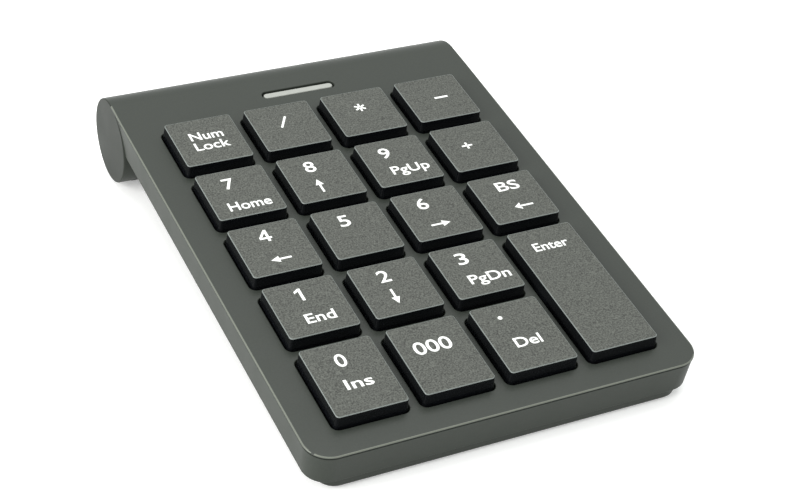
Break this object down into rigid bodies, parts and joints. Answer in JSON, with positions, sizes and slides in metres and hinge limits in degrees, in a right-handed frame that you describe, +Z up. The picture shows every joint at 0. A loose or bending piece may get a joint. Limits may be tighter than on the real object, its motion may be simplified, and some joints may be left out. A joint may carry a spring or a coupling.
{
  "type": "numeric keypad",
  "caption": "Thin sloping cordless numeric keypad: flat square keys in separate windows, a tall enter key, a pale status window and a round battery tube along the rear.",
  "frame": {"origin": "centre of the bounding box in plan, on the table surface under the feet", "axes": "+Z up, +X to the user's right, +Y away from the user towards the battery tube; the key plane slopes up towards +Y by about 5 degrees"},
  "size_m": [0.088, 0.1258, 0.022],
  "materials": {
    "case_plastic": "fine satin texture, dark warm grey",
    "base_plastic": "fine satin texture, darker grey",
    "key_plastic": "fine grained soft-touch top, grey, on near-black glossy walls",
    "lens": "frosted pale plastic",
    "guide_plastic": "black moulded plastic",
    "silicone": "translucent moulded silicone",
    "contact_film": "thin printed polyester film",
    "board": "green solder mask",
    "chip": "black epoxy",
    "lamp": "clear epoxy",
    "steel": "plated steel",
    "spring_steel": "bright nickel plating",
    "switch_plastic": "pale moulded plastic",
    "cell": "plain printed sleeve, no lettering",
    "red_lead": "PVC insulation",
    "black_lead": "PVC insulation",
    "rubber": "matt rubber"
  },
  "bodies": {
    "case": {"top_cover": "case_plastic", "bottom_cover": "base_plastic", "status_lens": "lens", "key_frame": "guide_plastic", "dome_sheet": "silicone", "upper_membrane": "contact_film", "spacer_membrane": "contact_film", "lower_membrane": "contact_film", "circuit_board": "board", "controller_chip": "chip", "status_lamp": "lamp", "membrane_clamp": "guide_plastic", "clamp_screws": "steel", "switch_housing": "guide_plastic", "battery_cell": "cell", "battery_spring": "spring_steel", "battery_contact": "spring_steel", "negative_lead": "black_lead", "positive_lead": "red_lead", "case_screws": "steel", "front_feet": "rubber", "rear_feet": "rubber"},
    "key_num_lock_body": {"key_num_lock": "key_plastic"},
    "key_divide_body": {"key_divide": "key_plastic"},
    "key_multiply_body": {"key_multiply": "key_plastic"},
    "key_minus_body": {"key_minus": "key_plastic"},
    "key_7_body": {"key_7": "key_plastic"},
    "key_8_body": {"key_8": "key_plastic"},
    "key_9_body": {"key_9": "key_plastic"},
    "key_plus_body": {"key_plus": "key_plastic"},
    "key_4_body": {"key_4": "key_plastic"},
    "key_5_body": {"key_5": "key_plastic"},
    "key_6_body": {"key_6": "key_plastic"},
    "key_backspace_body": {"key_backspace": "key_plastic"},
    "key_1_body": {"key_1": "key_plastic"},
    "key_2_body": {"key_2": "key_plastic"},
    "key_3_body": {"key_3": "key_plastic"},
    "key_enter_body": {"key_enter": "key_plastic"},
    "key_0_body": {"key_0": "key_plastic"},
    "key_triple_zero_body": {"key_triple_zero": "key_plastic"},
    "key_decimal_body": {"key_decimal": "key_plastic"},
    "stabilizer": {"enter_stabilizer": "spring_steel"},
    "switch": {"switch_knob": "switch_plastic"},
    "door": {"battery_door": "base_plastic"}
  },
  "joints": [
    {"name": "press_num_lock", "type": "slide", "parent": "case", "child": "key_num_lock_body", "axis": [0, 0.088, -0.9961], "range_m": [0, 0.002], "stiffness_N_per_m": 250, "springref_m": -0.0008, "deforming": ["dome_sheet"]},
    {"name": "press_divide", "type": "slide", "parent": "case", "child": "key_divide_body", "axis": [0, 0.088, -0.9961], "range_m": [0, 0.002], "stiffness_N_per_m": 250, "springref_m": -0.0008, "deforming": ["dome_sheet"]},
    {"name": "press_multiply", "type": "slide", "parent": "case", "child": "key_multiply_body", "axis": [0, 0.088, -0.9961], "range_m": [0, 0.002], "stiffness_N_per_m": 250, "springref_m": -0.0008, "deforming": ["dome_sheet"]},
    {"name": "press_minus", "type": "slide", "parent": "case", "child": "key_minus_body", "axis": [0, 0.088, -0.9961], "range_m": [0, 0.002], "stiffness_N_per_m": 250, "springref_m": -0.0008, "deforming": ["dome_sheet"]},
    {"name": "press_7", "type": "slide", "parent": "case", "child": "key_7_body", "axis": [0, 0.088, -0.9961], "range_m": [0, 0.002], "stiffness_N_per_m": 250, "springref_m": -0.0008, "deforming": ["dome_sheet"]},
    {"name": "press_8", "type": "slide", "parent": "case", "child": "key_8_body", "axis": [0, 0.088, -0.9961], "range_m": [0, 0.002], "stiffness_N_per_m": 250, "springref_m": -0.0008, "deforming": ["dome_sheet"]},
    {"name": "press_9", "type": "slide", "parent": "case", "child": "key_9_body", "axis": [0, 0.088, -0.9961], "range_m": [0, 0.002], "stiffness_N_per_m": 250, "springref_m": -0.0008, "deforming": ["dome_sheet"]},
    {"name": "press_plus", "type": "slide", "parent": "case", "child": "key_plus_body", "axis": [0, 0.088, -0.9961], "range_m": [0, 0.002], "stiffness_N_per_m": 250, "springref_m": -0.0008, "deforming": ["dome_sheet"]},
    {"name": "press_4", "type": "slide", "parent": "case", "child": "key_4_body", "axis": [0, 0.088, -0.9961], "range_m": [0, 0.002], "stiffness_N_per_m": 250, "springref_m": -0.0008, "deforming": ["dome_sheet"]},
    {"name": "press_5", "type": "slide", "parent": "case", "child": "key_5_body", "axis": [0, 0.088, -0.9961], "range_m": [0, 0.002], "stiffness_N_per_m": 250, "springref_m": -0.0008, "deforming": ["dome_sheet"]},
    {"name": "press_6", "type": "slide", "parent": "case", "child": "key_6_body", "axis": [0, 0.088, -0.9961], "range_m": [0, 0.002], "stiffness_N_per_m": 250, "springref_m": -0.0008, "deforming": ["dome_sheet"]},
    {"name": "press_backspace", "type": "slide", "parent": "case", "child": "key_backspace_body", "axis": [0, 0.088, -0.9961], "range_m": [0, 0.002], "stiffness_N_per_m": 250, "springref_m": -0.0008, "deforming": ["dome_sheet"]},
    {"name": "press_1", "type": "slide", "parent": "case", "child": "key_1_body", "axis": [0, 0.088, -0.9961], "range_m": [0, 0.002], "stiffness_N_per_m": 250, "springref_m": -0.0008, "deforming": ["dome_sheet"]},
    {"name": "press_2", "type": "slide", "parent": "case", "child": "key_2_body", "axis": [0, 0.088, -0.9961], "range_m": [0, 0.002], "stiffness_N_per_m": 250, "springref_m": -0.0008, "deforming": ["dome_sheet"]},
    {"name": "press_3", "type": "slide", "parent": "case", "child": "key_3_body", "axis": [0, 0.088, -0.9961], "range_m": [0, 0.002], "stiffness_N_per_m": 250, "springref_m": -0.0008, "deforming": ["dome_sheet"]},
    {"name": "press_enter", "type": "slide", "parent": "case", "child": "key_enter_body", "axis": [0, 0.088, -0.9961], "range_m": [0, 0.002], "stiffness_N_per_m": 250, "springref_m": -0.0008, "deforming": ["dome_sheet"]},
    {"name": "press_0", "type": "slide", "parent": "case", "child": "key_0_body", "axis": [0, 0.088, -0.9961], "range_m": [0, 0.002], "stiffness_N_per_m": 250, "springref_m": -0.0008, "deforming": ["dome_sheet"]},
    {"name": "press_triple_zero", "type": "slide", "parent": "case", "child": "key_triple_zero_body", "axis": [0, 0.088, -0.9961], "range_m": [0, 0.002], "stiffness_N_per_m": 250, "springref_m": -0.0008, "deforming": ["dome_sheet"]},
    {"name": "press_decimal", "type": "slide", "parent": "case", "child": "key_decimal_body", "axis": [0, 0.088, -0.9961], "range_m": [0, 0.002], "stiffness_N_per_m": 250, "springref_m": -0.0008, "deforming": ["dome_sheet"]},
    {"name": "stabilizer_swing", "type": "hinge", "parent": "case", "child": "stabilizer", "pos_m": [0.0364, -0.03661, 0.00721], "axis": [0, -0.9961, -0.088], "range_deg": [0, 18.54]},
    {"name": "switch_slide", "type": "slide", "parent": "case", "child": "switch", "axis": [1, 0, 0], "range_m": [0, 0.002]},
    {"name": "door_pull", "type": "slide", "parent": "case", "child": "door", "axis": [0, 0.088, -0.9961], "range_m": [0, 0.018]}
  ],
  "couplings": [
    {"joint": "stabilizer_swing", "follows": "press_enter", "rad_per_m": 161.31}
  ]
}
